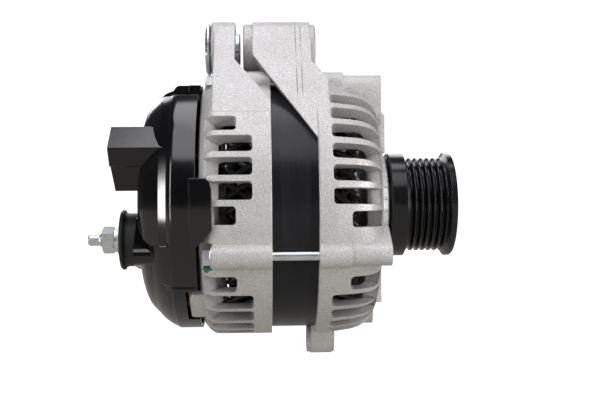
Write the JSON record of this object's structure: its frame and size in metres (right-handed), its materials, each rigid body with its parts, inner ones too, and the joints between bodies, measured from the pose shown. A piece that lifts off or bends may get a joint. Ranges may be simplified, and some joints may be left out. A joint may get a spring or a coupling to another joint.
{
  "type": "car alternator",
  "caption": "Belt-driven car alternator with cast frames, a grooved overrunning pulley, a pivot ear, a foot, and a moulded rear cover with plug and terminal stud.",
  "frame": {"origin": "on the shaft axis, at the centre plane of the belt grooves", "axes": "+X along the shaft towards the pulley's nose, +Z towards the upper pivot ear, parallel bolt holes along X"},
  "size_m": [0.206, 0.1513, 0.1939],
  "materials": {
    "cast_aluminium": "sand-textured casting",
    "core_black": "satin black paint over turned laminations",
    "winding": "dark varnish over copper",
    "copper": "turned copper",
    "zinc_steel": "bright zinc plating",
    "bearing_steel": "ground and polished",
    "cage_plastic": "glass-filled nylon",
    "shaft_steel": "ground steel",
    "claw_iron": "forged iron, turned outside",
    "fan_steel": "black coated steel",
    "pulley_black": "gloss black coating on turned steel",
    "hub_steel": "ground steel",
    "cover_black": "glossy moulded plastic",
    "board_black": "moulded plastic",
    "insulator_rubber": "satin moulded rubber",
    "cap_plastic": "moulded plastic",
    "heat_sink": "die casting",
    "carbon": "pressed carbon",
    "spring_steel": "drawn wire",
    "pin_tin": "tinned brass",
    "coil_wire": "enamelled copper wire",
    "bobbin_plastic": "nylon"
  },
  "bodies": {
    "housing": {"front_frame": "cast_aluminium", "rear_frame": "cast_aluminium", "stator_core": "core_black", "stator_winding": "winding", "through_bolts": "zinc_steel", "bearing_retainer_plate": "zinc_steel", "retainer_screws": "zinc_steel", "front_bearing_outer_race": "bearing_steel", "rear_bearing_outer_race": "bearing_steel", "rectifier_negative_plate": "heat_sink", "rectifier_positive_plate": "heat_sink", "rectifier_diodes": "copper", "rectifier_terminal_board": "board_black", "voltage_regulator": "cover_black", "connector_pins": "pin_tin", "brush_holder": "board_black", "brush_spring_front": "spring_steel", "brush_spring_rear": "spring_steel", "rear_cover": "cover_black", "cover_studs": "zinc_steel", "cover_nuts": "zinc_steel", "b_plus_stud": "zinc_steel", "b_plus_nut": "zinc_steel", "b_plus_spring_washer": "zinc_steel", "b_plus_flat_washer": "zinc_steel", "b_plus_insulator": "insulator_rubber"},
    "rotor": {"rotor_shaft": "shaft_steel", "front_pole_claw": "claw_iron", "rear_pole_claw": "claw_iron", "coil_bobbin": "bobbin_plastic", "field_coil": "coil_wire", "front_fan": "fan_steel", "rear_fan": "fan_steel", "front_spacer": "hub_steel", "slip_rings": "copper", "slip_ring_insulator": "board_black", "front_bearing_inner_race": "bearing_steel", "rear_bearing_inner_race": "bearing_steel", "pulley_hub": "hub_steel", "clutch_rollers": "bearing_steel"},
    "pulley": {"pulley_sheave": "pulley_black", "pulley_cap": "cap_plastic"},
    "front_ball_set": {"front_bearing_balls": "bearing_steel", "front_bearing_cage": "cage_plastic"},
    "rear_ball_set": {"rear_bearing_balls": "bearing_steel", "rear_bearing_cage": "cage_plastic"},
    "front_brush": {"brush_front": "carbon"},
    "rear_brush": {"brush_rear": "carbon"},
    "pivot_bush": {"mounting_bush": "zinc_steel"}
  },
  "joints": [
    {"name": "rotor_spin", "type": "hinge", "parent": "housing", "child": "rotor", "pos_m": [0, 0, 0], "axis": [1, 0, 0], "continuous": true},
    {"name": "pulley_overrun", "type": "hinge", "parent": "rotor", "child": "pulley", "pos_m": [0, 0, 0], "axis": [1, 0, 0], "continuous": true},
    {"name": "front_cage_spin", "type": "hinge", "parent": "housing", "child": "front_ball_set", "pos_m": [-0.033, 0, 0], "axis": [1, 0, 0], "continuous": true},
    {"name": "rear_cage_spin", "type": "hinge", "parent": "housing", "child": "rear_ball_set", "pos_m": [-0.118, 0, 0], "axis": [1, 0, 0], "continuous": true},
    {"name": "front_brush_slide", "type": "slide", "parent": "housing", "child": "front_brush", "axis": [0, 0, -1], "range_m": [0, 0.003], "stiffness_N_per_m": 200, "springref_m": -0.01, "deforming": ["brush_spring_front"]},
    {"name": "rear_brush_slide", "type": "slide", "parent": "housing", "child": "rear_brush", "axis": [0, 0, -1], "range_m": [0, 0.003], "stiffness_N_per_m": 200, "springref_m": -0.01, "deforming": ["brush_spring_rear"]},
    {"name": "bush_slide", "type": "slide", "parent": "housing", "child": "pivot_bush", "axis": [1, 0, 0], "range_m": [-0.002, 0.0004]}
  ],
  "couplings": [
    {"joint": "front_cage_spin", "follows": "rotor_spin", "ratio": 0.37879},
    {"joint": "rear_cage_spin", "follows": "rotor_spin", "ratio": 0.38}
  ]
}
